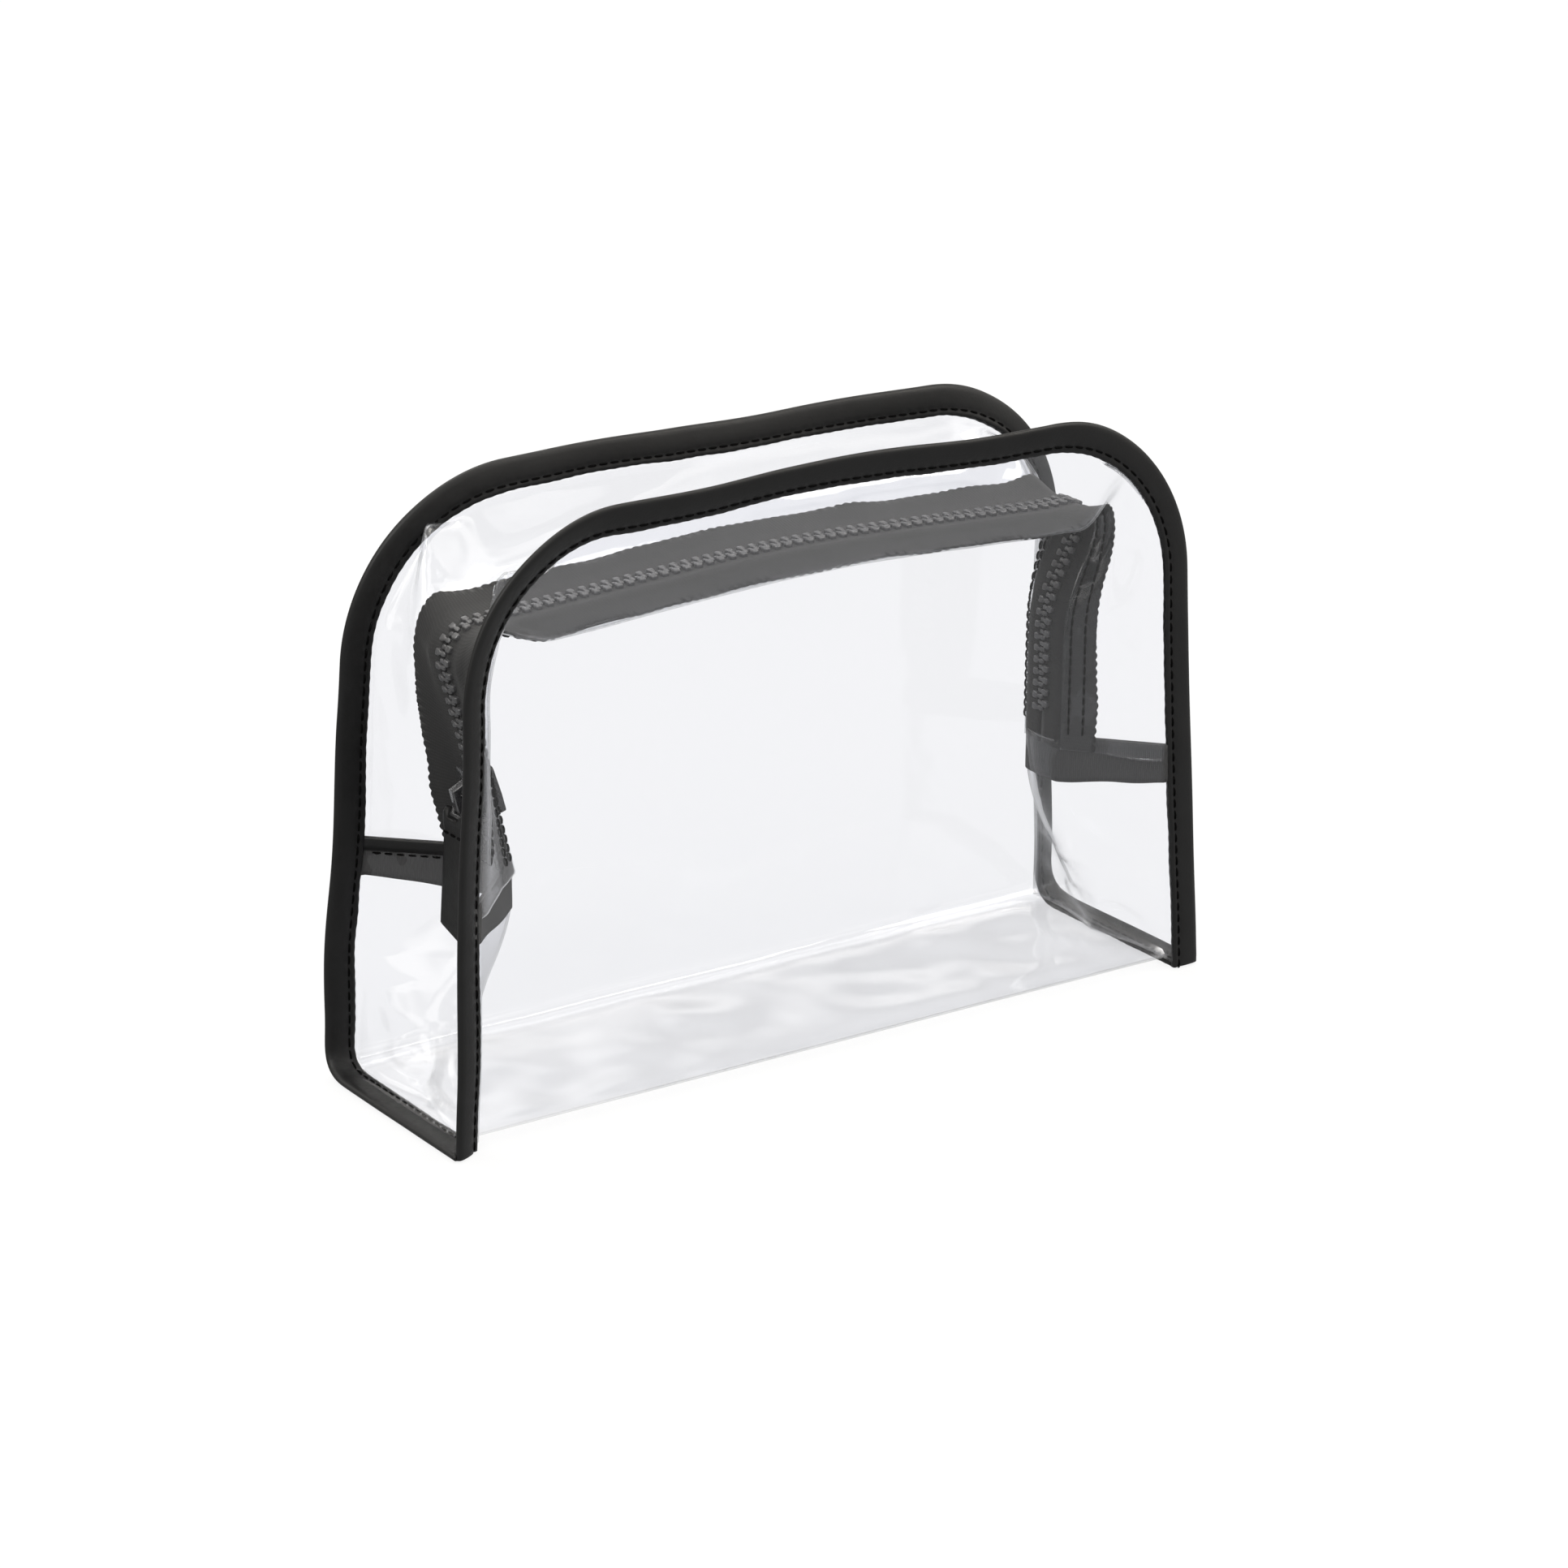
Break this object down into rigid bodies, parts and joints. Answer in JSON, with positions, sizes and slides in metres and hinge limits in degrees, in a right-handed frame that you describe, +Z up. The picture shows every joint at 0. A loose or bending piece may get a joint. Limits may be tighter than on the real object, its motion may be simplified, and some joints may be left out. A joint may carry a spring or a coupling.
{
  "type": "makeup bag",
  "caption": "Clear upright makeup bag with black bound seams, a zipper set in the top and side gusset, crossing straps, and a slider with a strap pull.",
  "frame": {"origin": "middle of the rectangle that the bag stands on, at floor level", "axes": "+X along the bag's width (to the right seen from the front), +Y from front to back, +Z up"},
  "size_m": [0.2274, 0.068, 0.1555],
  "materials": {
    "clear_film": "clear soft vinyl film, glossy, faintly blue",
    "leathercloth": "black coated leathercloth, satin, fine grain",
    "zipper_tape": "black woven zipper tape with scalloped edges",
    "ribbed_tape": "black ribbed grosgrain tape",
    "zipper_teeth": "black moulded plastic",
    "slider_metal": "black lacquered die casting",
    "thread": "black polyester sewing thread"
  },
  "bodies": {
    "bag": {"body_panel": "clear_film", "left_gusset": "clear_film", "right_gusset": "clear_film", "front_zip_strip": "clear_film", "back_zip_strip": "clear_film", "front_zipper_tape": "zipper_tape", "back_zipper_tape": "zipper_tape", "front_zipper_teeth": "zipper_teeth", "back_zipper_teeth": "zipper_teeth", "front_tape_thread": "thread", "back_tape_thread": "thread", "left_crossing_tape": "ribbed_tape", "right_crossing_tape": "ribbed_tape", "left_crossing_binding": "leathercloth", "right_crossing_binding": "leathercloth", "left_crossing_thread": "thread", "right_crossing_thread": "thread", "front_binding": "leathercloth", "back_binding": "leathercloth", "front_binding_thread": "thread", "back_binding_thread": "thread"},
    "slider": {"slider_body": "slider_metal", "slider_lower_wing": "slider_metal"},
    "link": {"pull_link": "slider_metal"},
    "pull": {"pull_strap": "leathercloth", "pull_thread": "thread"}
  },
  "joints": [
    {"name": "slider_travel", "type": "slide", "parent": "bag", "child": "slider", "axis": [-0.2674, -0.0211, 0.9634], "range_m": [-0.01, 0.026]},
    {"name": "link_swing", "type": "hinge", "parent": "slider", "child": "link", "pos_m": [-0.09063, -0.0017, 0.07868], "axis": [0, 1, 0], "range_deg": [0, 80]},
    {"name": "strap_swing", "type": "hinge", "parent": "link", "child": "pull", "pos_m": [-0.09229, -0.0017, 0.07396], "axis": [0, 1, 0], "range_deg": [0, 80]}
  ]
}
